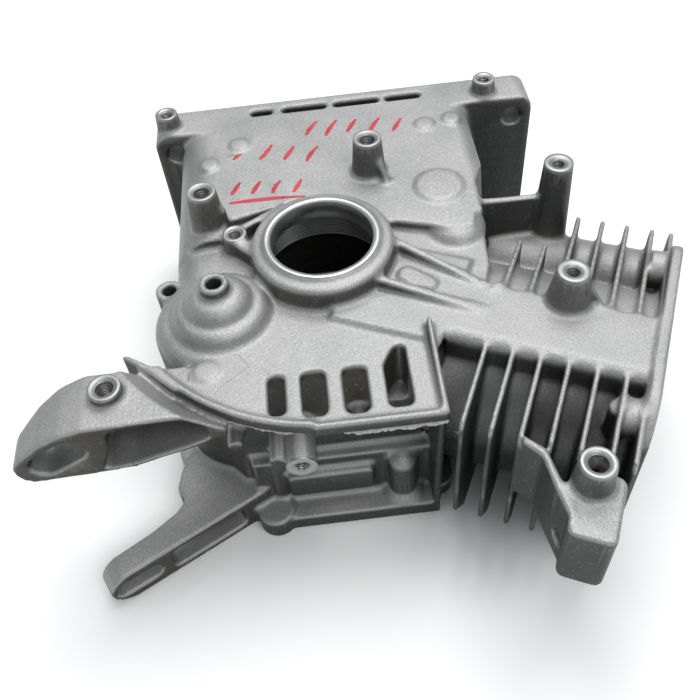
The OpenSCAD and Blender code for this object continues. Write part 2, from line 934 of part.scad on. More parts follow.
// Raised right edge of the plate, highest at its back end
module side_lip() {
    low = plate_z - plate_t / 2;
    translate([side_plate_x + side_plate_t - lip_w, 0, 0]) rotate([90, 0, 90]) linear_extrude(lip_w - 0.3) {
        polygon([[1 - shroud_r, low], [1 - shroud_r, plate_z + lip_h + 0.5],
            [-44, plate_z + side_lip_h], [-44, low]]);
    }
}

module shroud_windows() {
    top_y = -57.2;
    translate([-22.7, 0]) round_rect([-3.1, -75.2], [3.1, top_y], 2.2);
    translate([-9.1, 0]) round_rect([-4.5, -77], [4.5, top_y], 2.2);
    translate([6.1, 0]) round_rect([-4.4, -77.6], [4.4, top_y], 2.2);
    wide_window();
}

// The widest window runs on into a recess of the front wall
module wide_window() {
    polygon(concat([[17.2, -58], [21.5, -50.5]], arc(23.9, -51.4, 2.1, 90, 0), [[26.1, -74.5]],
        arc(24.1, -75, 2, 0, -90), arc(19.2, -75, 2, 270, 180)));
}

// Upright wing where the plate meets the arm
module shroud_wing() {
    translate([0, 0, plate_z - plate_t - 6]) linear_extrude(plate_t + lip_h + 6) {
        polygon([[-80.5, -41.5], [-78, -41], [-69, -47.2], [-58, -58], [-59.5, -60.5], [-70.5, -49.6]]);
    }
}

// Arm on the flywheel side: a block with a slotted face
module casting_arm_flywheel() {
    color("#b8bbbd")
    difference() {
        union() {
            upper_arm_body();
            translate([-81.6, -63.7, upper_arm_top - 3]) {
                cylinder(h = 3 - upper_arm_top, r = boss_r, $fn = small_fn);
            }
        }
        upper_arm_slot();
        upper_arm_pocket();
        threaded(-81.6, -63.7, 0, large_drill_d, 14);
        translate([0, 0, plate_z - plate_t - 0.01]) linear_extrude(60) shroud_outline();
        shroud_wing();
        arm_groove();
        translate([0, 0, cover_z]) linear_extrude(case_h + 40) front_outline();
    }
}

// Sloping groove between the arm and the round edge of the shroud plate
module arm_groove() {
    edge = shroud_r;
    rotate_extrude($fn = round_fn) {
        polygon([[40, plate_z - 3], [edge, plate_z - 6], [edge + 2, plate_z - 4],
            [edge + 10.5, upper_arm_top - 0.5], [edge + 10.5, 30], [40, 30]]);
    }
}

module upper_arm_body() {
    intersection() {
        translate([0, upper_arm_face, 0]) rotate([0, 0, upper_arm_yaw]) rotate([90, 0, 0]) {
            translate([0, 0, -32]) linear_extrude(32) upper_arm_section();
        }
        translate([0, 0, -80]) linear_extrude(120) upper_arm_plan();
    }
}

// Plan of the arm: it narrows towards its tip
module upper_arm_plan() {
    polygon([[-130, -90], [-130, -68.5], [-119, -64.5], [-111, -60], [-101, -55.5], [-91, -53], [-79, -53],
        [-74, -49], [-40, -45], [-40, -90]]);
}

// Face of the arm, seen along Y: a round tip and a straight run to the case
module upper_arm_section() {
    tip_r = 8;
    top = upper_arm_top;
    low = top - upper_arm_h;
    polygon(concat(
        arc(-112.5, low + tip_r, tip_r, 280, 135),
        [[-108, top - 6.5], [-99, top - 2], [-90, top], [-44, top], [-41, low + 15], [-57, low + 8],
            [-77, low + 2], [-96, low + 0.5]]));
}

module upper_arm_slot() {
    translate([upper_arm_slot_x, upper_arm_face, upper_arm_top - upper_arm_h / 2 - 1]) {
        rotate([90, 0, upper_arm_yaw]) rotate([0, 0, upper_arm_slot_tilt]) translate([0, 0, -40]) {
            linear_extrude(50) slot_2d(arm_slot_l, arm_slot_w + 2);
        }
    }
}

// Weight-saving pocket, open to the front
module upper_arm_pocket() {
    wall = 2.5;
    top = upper_arm_top - wall;
    low = upper_arm_top - upper_arm_h + wall;
    difference() {
        translate([0, upper_arm_face, 0]) rotate([90, 0, upper_arm_yaw]) translate([0, 0, -18]) {
            linear_extrude(24) polygon([[-89.5, low], [-84, low + 13], [-83, top - 3], [-79, top],
                [-48, top], [-48, low + 11.5], [-57, low + 8], [-77, low + 2]]);
        }
        translate([0, 0, -wall]) arm_groove();
    }
}

// Arm on the cover side, lying on the plane of the cover face
module casting_arm_cover() {
    color("#b4b8ba")
    difference() {
        intersection() {
            lower_arm_place() {
                translate([0, 0, -60]) linear_extrude(60) lower_arm_section();
            }
            translate([0, 0, cover_z]) linear_extrude(lower_arm_h) lower_arm_plan();
        }
        lower_arm_place() {
            translate([0, 0, -40]) linear_extrude(60) translate([11.5, lower_arm_h / 2]) {
                slot_2d(arm_slot_l - 3, arm_slot_w - 1);
            }
            translate([0, 0, -17]) linear_extrude(20) round_rect([27, 4], [62, lower_arm_h - 4], 3);
        }
        translate([0, 0, cover_z]) linear_extrude(case_h + 40) front_outline();
        translate([0, 0, cover_z - 1]) linear_extrude(cover_flange_t + 1) cover_outline();
        cover_pads();
        dome_bulge();
    }
}

// Local frame of the arm: X along its face from the tip, Y up, Z out of the face
module lower_arm_place() {
    translate([lower_arm_tip[0], lower_arm_tip[1], cover_z]) rotate([0, 0, lower_arm_yaw]) {
        rotate([90, 0, 0]) children();
    }
}

// Plan of the arm: it widens towards the case
module lower_arm_plan() {
    polygon([[-110, -104], [-110, -91], [-98, -84], [-85, -76], [-75, -68], [-71.5, -63], [-74.5, -57],
        [-74, -50], [-71, -41], [-60, -30], [-38, -40], [-34, -58], [-34, -64], [-90, -104]]);
}

module lower_arm_section() {
    h = lower_arm_h;
    polygon(concat(arc(h / 2 - 1, h / 2, h / 2, 270, 90), [[90, h], [90, 0]]));
}

// Bracket at the front of the barrel that carries a post
module casting_tank_bracket() {
    color("#b3b6b8")
    along_cylinder()
    difference() {
        union() {
            bracket_wall();
            translate([bracket_s - 5, bracket_n - 19, deck_z - 34]) bracket_block();
            translate([bracket_s, bracket_n, deck_z - 4]) {
                cylinder(h = 4 - deck_z, r1 = boss_r + 1.2, r2 = boss_r, $fn = small_fn);
            }
        }
        threaded(bracket_s, bracket_n, 0, large_drill_d, 20);
        translate([bracket_s - 9, bracket_n - 12, deck_z - 24]) rotate([0, 90, 30]) {
            cylinder(h = 40, r = 3.2, center = true, $fn = small_fn);
        }
    }
}

// Wall that ties the bracket to the fins
module bracket_wall() {
    top = deck_z - 1.5;
    low = top - 34;
    translate([0, 0, low]) linear_extrude(top - low) bracket_wall_outline();
}

module bracket_wall_outline() {
    n = -fin_reach + 2.3;
    fin_face = fin_first + 2 * fin_pitch + fin_t;
    polygon([[fin_face, n], [bracket_s - 16.4, n - 3], [bracket_s - 9, n - 14], [bracket_s - 4, n - 22],
        [bracket_s - 4, n - 27], [bracket_s - 11, n - 17], [bracket_s - 17.4, n - 6.2], [fin_face, n - 3]]);
}

module bracket_block() {
    linear_extrude(32) round_rect([0, -1], [16, 24], 3);
}

// What the bracket takes out of the fins
module bracket_space() {
    translate([bracket_s - 5, bracket_n - 19, deck_z - 34]) bracket_block();
    bracket_wall();
    translate([bracket_s, bracket_n, deck_z - 4]) cylinder(h = 30, r = boss_r + 1.2, $fn = small_fn);
}

// Tall post beside the barrel, tied to the case by a web
module casting_stay_post() {
    color("#a9adaf")
    difference() {
        union() {
            along_cylinder() stay_post_space();
            stay_web();
        }
        along_cylinder() threaded(stay_s, stay_n, stay_top, small_drill_d, 20);
        translate([0, 0, cover_z]) linear_extrude(case_h - 2) front_outline();
        translate([0, 0, cover_z]) linear_extrude(case_h) sump_outline();
        cam_cut();
        along_cylinder() axis_cylinder(barrel_start - 5, flange_start, tunnel_r, tunnel_n, tunnel_z);
    }
}

module cam_cut() {
    side_bulge();
}

module stay_post_space() {
    difference() {
        translate([stay_s, stay_n, tunnel_z - 6]) {
            cylinder(h = stay_top - tunnel_z + 6, r1 = boss_r + 2.4, r2 = boss_r, $fn = small_fn);
        }
        axis_cylinder(barrel_start - 5, flange_start, tunnel_r, tunnel_n, tunnel_z);
    }
}

module stay_web() {
    p = [stay_s * cos(cylinder_tilt) + stay_n * sin(cylinder_tilt),
        stay_n * cos(cylinder_tilt) - stay_s * sin(cylinder_tilt)];
    translate([60, p[1] - 1.5, 0]) rotate([90, 0, 0]) translate([0, 0, -3]) linear_extrude(3) {
        polygon([[0, sump_z - 3], [p[0] - 66, sump_z - 4], [p[0] - 60, sump_z + 1], [p[0] - 60, -50],
            [0, -50]]);
    }
}

// Cast-iron liner, with its spigot standing into the crank chamber
module cylinder_liner() {
    color("#5c5f61")
    along_cylinder()
    difference() {
        axis_cylinder(liner_start, deck_height, liner_r, 0, axis_z);
        axis_cylinder(liner_start - 1, deck_height + 1, bore_r, 0, axis_z);
    }
}

// Oil drain plug with a hexagon head, screwed into the sump
module drain_plug(side) {
    color("#8f9396")
    at_drain(side) {
        translate([0, 0, washer_t]) cylinder(h = 6, r = drain_head_r, $fn = 6);
        translate([0, 0, washer_t - plug_l]) cylinder(h = plug_l, r = drain_thread_r, $fn = small_fn);
    }
}

// Sealing washer under the plug's head
module drain_washer(side) {
    color("#b5895a")
    at_drain(side) difference() {
        cylinder(h = washer_t, r = drain_head_r + 0.7, $fn = small_fn);
        translate([0, 0, -1]) cylinder(h = washer_t + 2, r = drain_thread_r, $fn = small_fn);
    }
}

casting_crankcase();
casting_sump();
casting_base();
casting_bearing_hub();
casting_governor_dome();
casting_barrel();
casting_fins();
casting_head_flange();
casting_shroud_plate();
casting_arm_flywheel();
casting_arm_cover();
casting_tank_bracket();
casting_stay_post();
cylinder_liner();
drain_plug(-1);  // drain_plug_left
drain_plug(1);  // drain_plug_right
drain_washer(-1);  // drain_washer_left
drain_washer(1);  // drain_washer_right
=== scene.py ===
"""Looks of a bare small-engine crankcase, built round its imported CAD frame.

The aluminium regions of the CAD model become one cast skin: their solids are
merged in a level set, which rounds the inner corners as a casting does. The
machined rims, boss faces and threads are pieces of their own.
"""

import json
import math
import random

import bpy
import numpy as np
import openvdb as vdb
from mathutils import Matrix, Vector, noise


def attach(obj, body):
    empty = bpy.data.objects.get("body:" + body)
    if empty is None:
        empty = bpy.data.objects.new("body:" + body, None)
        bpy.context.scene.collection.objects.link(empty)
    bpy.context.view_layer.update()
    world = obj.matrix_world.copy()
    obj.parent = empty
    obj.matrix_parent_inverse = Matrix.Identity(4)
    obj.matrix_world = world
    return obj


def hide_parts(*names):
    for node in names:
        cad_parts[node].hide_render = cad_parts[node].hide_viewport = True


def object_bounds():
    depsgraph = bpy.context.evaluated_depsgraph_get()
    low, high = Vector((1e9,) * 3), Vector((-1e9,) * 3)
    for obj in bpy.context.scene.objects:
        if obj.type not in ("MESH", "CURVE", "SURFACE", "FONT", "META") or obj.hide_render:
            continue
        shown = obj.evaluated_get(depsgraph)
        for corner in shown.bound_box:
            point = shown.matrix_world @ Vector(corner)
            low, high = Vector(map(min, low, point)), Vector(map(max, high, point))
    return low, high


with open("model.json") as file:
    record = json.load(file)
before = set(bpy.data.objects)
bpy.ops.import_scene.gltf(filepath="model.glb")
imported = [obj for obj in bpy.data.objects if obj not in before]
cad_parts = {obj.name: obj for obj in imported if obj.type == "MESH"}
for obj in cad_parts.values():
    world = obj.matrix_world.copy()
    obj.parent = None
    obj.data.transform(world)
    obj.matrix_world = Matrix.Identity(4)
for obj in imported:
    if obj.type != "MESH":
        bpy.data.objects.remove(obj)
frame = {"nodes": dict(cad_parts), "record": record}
CAD_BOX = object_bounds()
RECORD = frame["record"]
MM = 0.001

# the cylinder's frame: AXIS points to the head, ACROSS to its upper side
TILT = math.radians(25)
AXIS = Vector((math.cos(TILT), -math.sin(TILT), 0))
ACROSS = Vector((math.sin(TILT), math.cos(TILT), 0))

# machined planes of the casting, in mm: Y of the base, Z of the cover joint, distance of the head joint
BASE_FACE, COVER_FACE, HEAD_FACE = 106.0, -104.5, 137.0
FACE_DEPTH = 0.25
SUMP_TOP = -7.5         # Z of the flat top of the sump
SHROUD_TOP = -13.04     # Z just under the skin of the shroud plate

# the cast skin, in mm: inner fillet, outer rounding, and how far the skin is drawn in
INNER_FILLET, OUTER_ROUND, DRAWN_IN = 1.1, 0.35, 0.05
VOXEL, QUICK_VOXEL = 0.7, 1.1
SKIN_TRIANGLES = 196000
WAVE_HEIGHT, WAVE_LIMIT, WAVE_SINK = 0.045, 0.9, 0.03

# tapped holes: thread pitch by drilled radius, and the radius of each post's faced ring
THREAD_PITCH = {2.5: 1.0, 3.4: 1.25}
BOSS_TOPS = {
    "fan_housing_hole_left": 5.2, "fan_housing_hole_right": 5.2,
    "coil_post_hole_left": 6.1, "coil_post_hole_right": 6.1, "hub_lug_hole": 5.0,
    "stay_post_hole": 6.1, "deck_post_hole": 6.1, "bracket_post_hole": 6.1,
    "arm_post_hole": 6.1, "front_boss_hole": 6.2,
}
MOUNTS = {m["name"]: m for m in RECORD["mounts"]}

# seams of the mould inserts and marker strokes, as XY points in mm
WITNESS = [
    [(-60.8, -53.8), (-48.7, -44.2)],
    [(-39.6, -44.6), (-35.9, -45.7), (-32.2, -51.8), (-44.1, -60.4)],
]
MARKS = [
    ((-2, 76), (4, 86)), ((7, 74), (13, 85)), ((17, 75), (22, 84)), ((27, 72), (33, 83)),
    ((38, 72), (43, 81)), ((49, 69), (54, 80)),
    ((-36, 64), (-29, 75)), ((-24, 62), (-18, 72)), ((-13, 60), (-8, 69)), ((-3, 57), (3, 67)),
    ((-37, 40), (-33, 48)), ((-28, 39), (-24, 47)), ((-19, 38), (-15, 46)), ((-10, 37), (-6, 45)),
    ((-38, 34.5), (-5, 33.5)),
]

# the camera: lens and sensor, its azimuth, elevation and roll in degrees, and its place in mm
LENS, SENSOR = 42.776, 36.0
CAMERA_ANGLES = (-1.08, 50.99, 5.92)
CAMERA_PLACE = (2.03, -244.79, 228.02)
LIGHT_TARGET = (0.02, 0.0, -0.05)


# ---------------------------------------------------------------- mesh helpers
def new_piece(name, verts, faces, material, smooth=True):
    """A mesh piece of the casting from points in millimetres."""
    mesh = bpy.data.meshes.new(name)
    mesh.from_pydata([tuple(c * MM for c in v) for v in verts], [], faces)
    mesh.validate()
    mesh.materials.append(material)
    mesh.polygons.foreach_set("use_smooth", [smooth] * len(mesh.polygons))
    mesh.update()
    piece = bpy.data.objects.new(name, mesh)
    bpy.context.scene.collection.objects.link(piece)
    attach(piece, "root")


def axis_frame(axis):
    """The unit axis and two unit vectors across it."""
    axis = Vector(axis).normalized()
    side = axis.orthogonal().normalized()
    return axis, side, axis.cross(side)


class Solid:
    """Collects points and faces of several simple bodies into one mesh."""

    def __init__(self):
        self.verts = []
        self.faces = []

    def add(self, verts, faces):
        base = len(self.verts)
        self.verts += [tuple(v) for v in verts]
        self.faces += [tuple(base + i for i in f) for f in faces]

    def lathe(self, origin, axis, profile, steps):
        """Turns (radius, height) points about an axis."""
        up, a, b = axis_frame(axis)
        origin = Vector(origin)
        verts = []
        for radius, height in profile:
            for i in range(steps):
                t = 2 * math.pi * i / steps
                verts.append(origin + up * height + (a * math.cos(t) + b * math.sin(t)) * radius)
        faces = []
        for row in range(0, (len(profile) - 1) * steps, steps):
            for i in range(steps):
                n = (i + 1) % steps
                faces.append((row + i, row + n, row + steps + n, row + steps + i))
        self.add(verts, faces)

    def piece(self, name, material, smooth=True):
        new_piece(name, self.verts, self.faces, material, smooth)


def cylinder_point(s, n, z):
    """Point s along the cylinder and n across it, in the part's frame, in mm."""
    p = AXIS * s + ACROSS * n
    return Vector((p.x, p.y, z))


# ---------------------------------------------------------------- level set
def soup(objects):
    """Points (mm) and triangles of several objects."""
    points, tris, base = [], [], 0
    for o in objects:
        mesh = o.data
        co = np.empty(len(mesh.vertices) * 3, np.float32)
        mesh.vertices.foreach_get("co", co)
        co = co.reshape(-1, 3) @ np.array(o.matrix_world.to_3x3()).T.astype(np.float32)
        mesh.calc_loop_triangles()
        t = np.empty(len(mesh.loop_triangles) * 3, np.int32)
        mesh.loop_triangles.foreach_get("vertices", t)
        points.append(co / MM)
        tris.append(t.reshape(-1, 3) + base)
        base += len(mesh.vertices)
    return np.concatenate(points), np.concatenate(tris)


def level_set(points, tris, quads, voxel, band):
    """Distance grid of a closed surface, valid to band mm on each side."""
    return vdb.FloatGrid.createLevelSetFromPolygons(
        np.ascontiguousarray(points, dtype=np.float32),
        triangles=np.ascontiguousarray(tris, dtype=np.uint32) if len(tris) else None,
        quads=np.ascontiguousarray(quads, dtype=np.uint32) if len(quads) else None,
        transform=vdb.createLinearTransform(voxelSize=voxel), halfWidth=band / voxel + 2)


def cast_skin(points, tris, voxel):
    """One surface round all the solids, with its inner and outer corners rounded."""
    none = np.zeros((0, 4), np.uint32)
    back = INNER_FILLET + OUTER_ROUND
    grid = level_set(points, tris, none, voxel, INNER_FILLET)
    p, t, q = grid.convertToPolygons(isovalue=INNER_FILLET, adaptivity=0.0)
    grid = level_set(p, t, q, voxel, back)
    p, t, q = grid.convertToPolygons(isovalue=-back, adaptivity=0.0)
    grid = level_set(p, t, q, voxel, OUTER_ROUND)
    return grid.convertToPolygons(isovalue=OUTER_ROUND - DRAWN_IN, adaptivity=0.0)


def cast_details():
    """Small cast features that the CAD model leaves out, as closed solids in mm."""
    s = Solid()
    # ejector pad on the shroud plate
    s.lathe((-48.2, -51.9, -15), (0, 0, 1), [(0.01, 0), (4.4, 0), (4.4, 2.9), (0.01, 2.9)], 24)
    # rough lump where the upper rib ends
    rng = random.Random(5)
    for _ in range(9):
        c = Vector((65.5 + rng.uniform(-2.2, 2.2), -28.4 + rng.uniform(-1.6, 1.6), -11.6))
        s.lathe(c, (rng.uniform(-0.3, 0.3), rng.uniform(-0.3, 0.3), 1),
                [(0.01, -1.5), (1.5, -1.5), (1.3, 0.9), (0.01, 1.3)], 8)
    return s


def triangulated(solid):
    """Points and triangles of a Solid, as arrays."""
    pts = np.array(solid.verts, np.float32)
    tris = []
    for f in solid.faces:
        tris += [(f[0], f[i], f[i + 1]) for i in range(1, len(f) - 1)]
    return pts, np.array(tris, np.int32)


def build_casting(material):
    """All casting regions and small details as one thinned, slightly wavy skin."""
    nodes = sorted(n for n in frame["nodes"] if n.startswith("casting_"))
    pts, tris = soup([frame["nodes"][n] for n in nodes])
    extra_p, extra_t = triangulated(cast_details())
    tris = np.concatenate([tris, extra_t + len(pts)])
    pts = np.concatenate([pts, extra_p])
    p, t, q = cast_skin(pts, tris, VOXEL)
    mesh = bpy.data.meshes.new("block_casting")
    loops = np.concatenate([q.reshape(-1), t.reshape(-1)]).astype(np.int32)
    sizes = np.concatenate([np.full(len(q), 4), np.full(len(t), 3)]).astype(np.int32)
    mesh.vertices.add(len(p))
    mesh.vertices.foreach_set("co", (p * MM).astype(np.float32).reshape(-1))
    mesh.loops.add(len(loops))
    mesh.loops.foreach_set("vertex_index", loops)
    mesh.polygons.add(len(sizes))
    starts = np.concatenate([[0], np.cumsum(sizes)[:-1]]).astype(np.int32)
    mesh.polygons.foreach_set("loop_start", starts)
    mesh.polygons.foreach_set("loop_total", sizes)
    mesh.polygons.foreach_set("use_smooth", np.ones(len(sizes), bool))
    mesh.update(calc_edges=True)
    mesh.validate()
    mesh.materials.append(material)
    piece = bpy.data.objects.new("block_casting", mesh)
    bpy.context.scene.collection.objects.link(piece)
    thin = piece.modifiers.new("thin", "DECIMATE")
    thin.ratio = min(1.0, SKIN_TRIANGLES / (2 * len(q) + len(t) + 1))
    bpy.context.view_layer.update()
    done = bpy.data.meshes.new_from_object(piece.evaluated_get(bpy.context.evaluated_depsgraph_get()))
    piece.modifiers.clear()
    piece.data = done
    done.name = "block_casting"
    # the slight waviness of a die-cast skin
    n = len(done.vertices)
    co = np.empty(n * 3)
    done.vertices.foreach_get("co", co)
    no = np.empty(n * 3)
    done.vertices.foreach_get("normal", no)
    co, no = co.reshape(-1, 3), no.reshape(-1, 3)
    wave = np.array([noise.noise(Vector(c) * 110) + 0.5 * noise.noise(Vector(c) * 320) for c in co])
    co += no * (np.clip(wave, -WAVE_LIMIT, WAVE_LIMIT) * WAVE_HEIGHT * MM - WAVE_SINK * MM)[:, None]
    done.vertices.foreach_set("co", co.reshape(-1))
    done.update()
    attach(piece, "root")
    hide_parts(*nodes)


# ---------------------------------------------------------------- materials
class Nodes:
    """Short calls for building a shader."""

    def __init__(self, name):
        self.mat = bpy.data.materials.new(name)
        self.mat.use_nodes = True
        self.tree = self.mat.node_tree
        self.tree.nodes.clear()
        self.out = self.tree.nodes.new("ShaderNodeOutputMaterial")
        self.bsdf = self.tree.nodes.new("ShaderNodeBsdfPrincipled")
        self.tree.links.new(self.bsdf.outputs[0], self.out.inputs[0])
        self.pos = self.tree.nodes.new("ShaderNodeTexCoord").outputs["Object"]

    def put(self, socket, value):
        if isinstance(value, bpy.types.NodeSocket):
            self.tree.links.new(value, socket)
        else:
            socket.default_value = value

    def math(self, op, a, b):
        n = self.tree.nodes.new("ShaderNodeMath")
        n.operation = op
        self.put(n.inputs[0], a)
        self.put(n.inputs[1], b)
        return n.outputs[0]

    def dot(self, a, b):
        n = self.tree.nodes.new("ShaderNodeVectorMath")
        n.operation = "DOT_PRODUCT"
        self.put(n.inputs[0], a)
        self.put(n.inputs[1], b)
        return n.outputs[1]

    def parts(self, vector):
        n = self.tree.nodes.new("ShaderNodeSeparateXYZ")
        self.put(n.inputs[0], vector)
        return n.outputs

    def noise(self, scale, detail, rough):
        n = self.tree.nodes.new("ShaderNodeTexNoise")
        self.put(n.inputs["Vector"], self.pos)
        n.inputs["Scale"].default_value = scale
        n.inputs["Detail"].default_value = detail
        n.inputs["Roughness"].default_value = rough
        return n.outputs[0]

    def ramp(self, fac, low, high, to_low=0.0, to_high=1.0):
        n = self.tree.nodes.new("ShaderNodeMapRange")
        n.clamp = True
        for i, v in enumerate((fac, low, high, to_low, to_high)):
            self.put(n.inputs[i], v)
        return n.outputs[0]

    def mix(self, fac, a, b):
        n = self.tree.nodes.new("ShaderNodeMix")
        n.data_type = "RGBA"
        self.put(n.inputs[0], fac)
        self.put(n.inputs[6], a)
        self.put(n.inputs[7], b)
        return n.outputs[2]

    def bump(self, height, distance, strength):
        n = self.tree.nodes.new("ShaderNodeBump")
        n.inputs["Strength"].default_value = strength
        n.inputs["Distance"].default_value = distance
        self.put(n.inputs["Height"], height)
        return n.outputs[0]

    def geometry(self, out):
        return self.tree.nodes.new("ShaderNodeNewGeometry").outputs[out]

    def occlusion(self, distance):
        n = self.tree.nodes.new("ShaderNodeAmbientOcclusion")
        n.samples = 8
        n.inputs["Distance"].default_value = distance
        return n.outputs["AO"]

    def set(self, **values):
        for key, value in values.items():
            self.put(self.bsdf.inputs[key.replace("_", " ")], value)


def rgb(r, g, b):
    return (r, g, b, 1.0)


def cast_material():
    """Blasted die-cast aluminium with machined joint faces."""
    m = Nodes("cast_aluminium")
    up = m.parts(m.geometry("Normal"))[2]
    place = m.parts(m.pos)
    grain = m.noise(1900, 2.0, 0.6)
    speck = m.noise(620, 3.0, 0.6)
    cloud = m.noise(34, 4.0, 0.55)
    stain = m.noise(11, 3.0, 0.5)
    # painted light and shade: blasted tops are painted pale as if lit from above, sides are painted darker
    # as if in shade, with a green and brown tinge that is a painted reflection of the surroundings
    side = m.mix(m.ramp(stain, 0.4, 0.62), rgb(0.058, 0.068, 0.062), rgb(0.078, 0.068, 0.064))
    top = m.mix(m.ramp(cloud, 0.35, 0.65), rgb(0.40, 0.405, 0.40), rgb(0.49, 0.49, 0.483))
    # painted light on faces turned up, painted shade on side faces, blended by how far each face turns up
    colour = m.mix(m.ramp(up, 0.0, 0.42), side, top)
    shade = m.mix(0.62, colour, rgb(0.02, 0.02, 0.02))
    colour = m.mix(m.ramp(grain, 0.3, 0.7, 0.0, 0.62), colour, shade)
    glint = m.mix(0.35, colour, rgb(0.8, 0.8, 0.8))
    colour = m.mix(m.ramp(speck, 0.6, 0.74, 0.0, 0.4), colour, glint)
    # painted shade in the corners, darker where ambient occlusion is high; bare metal on the edges
    colour = m.mix(m.ramp(m.occlusion(0.006), 0.2, 0.7, 0.4, 0.0), colour, rgb(0.04, 0.043, 0.038))
    edge = m.ramp(m.geometry("Pointiness"), 0.53, 0.60)
    colour = m.mix(m.math("MULTIPLY", edge, 0.4), colour, rgb(0.5, 0.5, 0.5))
    # machined faces: base, cover and head
    base = m.math("GREATER_THAN", place[1], (BASE_FACE - FACE_DEPTH) * MM)
    cover = m.math("LESS_THAN", place[2], (COVER_FACE + FACE_DEPTH) * MM)
    head = m.math("GREATER_THAN", m.dot(m.pos, tuple(AXIS)), (HEAD_FACE - FACE_DEPTH) * MM)
    cut = m.math("MAXIMUM", m.math("MAXIMUM", base, cover), head)
    colour = m.mix(cut, colour, rgb(0.55, 0.555, 0.56))
    rough = m.ramp(cloud, 0.3, 0.7, 0.5, 0.62)
    rough = m.math("SUBTRACT", rough, m.math("MULTIPLY", cut, 0.24))
    height = m.math("ADD", m.math("MULTIPLY", grain, 0.5), m.math("MULTIPLY", speck, 0.5))
    height = m.math("MULTIPLY", height, m.math("SUBTRACT", 1.0, m.math("MULTIPLY", cut, 0.9)))
    m.set(Base_Color=colour, Roughness=rough, Metallic=0.72, Normal=m.bump(height, 0.0004, 0.7))
    return m.mat


def turned_material(name="turned_aluminium", colour=(0.56, 0.565, 0.57), rough=0.34):
    """Bright machined metal with fine scratches."""
    m = Nodes(name)
    fine = m.noise(2600, 2.0, 0.5)
    wide = m.noise(60, 3.0, 0.5)
    tint = m.mix(m.ramp(wide, 0.35, 0.65), rgb(*[c * 0.9 for c in colour]), rgb(*colour))
    tint = m.mix(m.ramp(fine, 0.45, 0.7, 0.0, 0.25), tint, rgb(0.4, 0.4, 0.4))
    # painted shade: darker in corners and hollows where ambient occlusion is high
    tint = m.mix(m.ramp(m.occlusion(0.006), 0.2, 0.8, 0.6, 0.0), tint, rgb(0.12, 0.12, 0.115))
    m.set(Base_Color=tint, Roughness=m.ramp(wide, 0.3, 0.7, rough, rough + 0.12), Metallic=1.0,
          Normal=m.bump(fine, 0.0001, 0.3))
    return m.mat


def iron_material():
    """Grey iron with two crossing sets of honing marks."""
    m = Nodes("honed_iron")
    wave = []
    for angle in (35, -35):
        spin = m.tree.nodes.new("ShaderNodeVectorRotate")
        m.put(spin.inputs["Vector"], m.pos)
        spin.inputs["Axis"].default_value = (0, 0, 1)
        spin.inputs["Angle"].default_value = math.radians(angle)
        tex = m.tree.nodes.new("ShaderNodeTexWave")
        m.put(tex.inputs["Vector"], spin.outputs[0])
        tex.inputs["Scale"].default_value = 320
        tex.inputs["Distortion"].default_value = 3.0
        wave.append(tex.outputs[1])
    lines = m.math("MULTIPLY", wave[0], wave[1])
    stain = m.noise(45, 4.0, 0.6)
    colour = m.mix(m.ramp(stain, 0.35, 0.65), rgb(0.13, 0.13, 0.13), rgb(0.24, 0.235, 0.23))
    colour = m.mix(m.math("MULTIPLY", lines, 0.5), colour, rgb(0.36, 0.36, 0.36))
    m.set(Base_Color=colour, Roughness=m.ramp(stain, 0.3, 0.7, 0.3, 0.45), Metallic=0.95,
          Normal=m.bump(lines, 0.0001, 0.3))
    return m.mat


def plain_metal(name, light, dark, rough):
    """Metal that varies between two colours in small spots."""
    m = Nodes(name)
    spots = m.noise(240, 4.0, 0.6)
    colour = m.mix(m.ramp(spots, 0.4, 0.62), rgb(*light), rgb(*dark))
    m.set(Base_Color=colour, Roughness=m.ramp(spots, 0.3, 0.7, rough, rough + 0.2), Metallic=0.95,
          Normal=m.bump(spots, 0.0002, 0.3))
    return m.mat


# ---------------------------------------------------------------- machined detail
def mouth(mount):
    """Centre of a hole's mouth and its axis, in mm."""
    axis = Vector(mount["axis"])
    return Vector(mount["pos_m"]) / MM + axis * mount["dims"]["length_mm"] / 2, axis


def add_thread(solid, mount, depth_limit=9.0, steps=32):
    """Helical ridges inside a tapped hole."""
    top, axis = mouth(mount)
    up, a, b = axis_frame(axis)
    radius = mount["dims"]["r_mm"]
    pitch = THREAD_PITCH[round(radius, 1)]
    depth = min(depth_limit, mount["dims"]["length_mm"] - 0.5)
    heights = (0.0, 0.5, 1.0, 0.5)
    rows = int(depth / pitch * 4)
    verts = []
    for j in range(rows + 1):
        for i in range(steps + 1):
            t = 2 * math.pi * i / steps
            z = -(j / 4 + i / steps) * pitch
            r = radius - 0.05 - 0.45 * heights[j % 4] * min(1.0, j / 4)
            verts.append(top + up * z + (a * math.cos(t) + b * math.sin(t)) * r)
    w = steps + 1
    faces = [(j * w + i, (j + 1) * w + i, (j + 1) * w + i + 1, j * w + i + 1)
             for j in range(rows) for i in range(steps)]
    solid.add(verts, faces)


def build_threads(material):
    s = Solid()
    for _, mount in sorted(MOUNTS.items()):
        if mount["kind"] == "threaded_hole":
            add_thread(s, mount)
    s.piece("tapped_threads", material)


def build_boss_tops(material):
    """Faced rings on the posts, with the chamfer at each hole."""
    s = Solid()
    for name, outer in BOSS_TOPS.items():
        r = MOUNTS[name]["dims"]["r_mm"]
        top, axis = mouth(MOUNTS[name])
        # these threads start below the face, at the end of the chamfer
        if name != "front_boss_hole":
            top = top + axis * 0.8
        s.lathe(top, axis, [(outer - 0.02, -0.75), (outer - 0.12, -0.18), (outer - 0.35, -0.005),
                            (r + 1.0, -0.005), (r + 0.15, -0.85), (r - 0.1, -1.0)], 64)
    s.piece("faced_boss_rings", material)


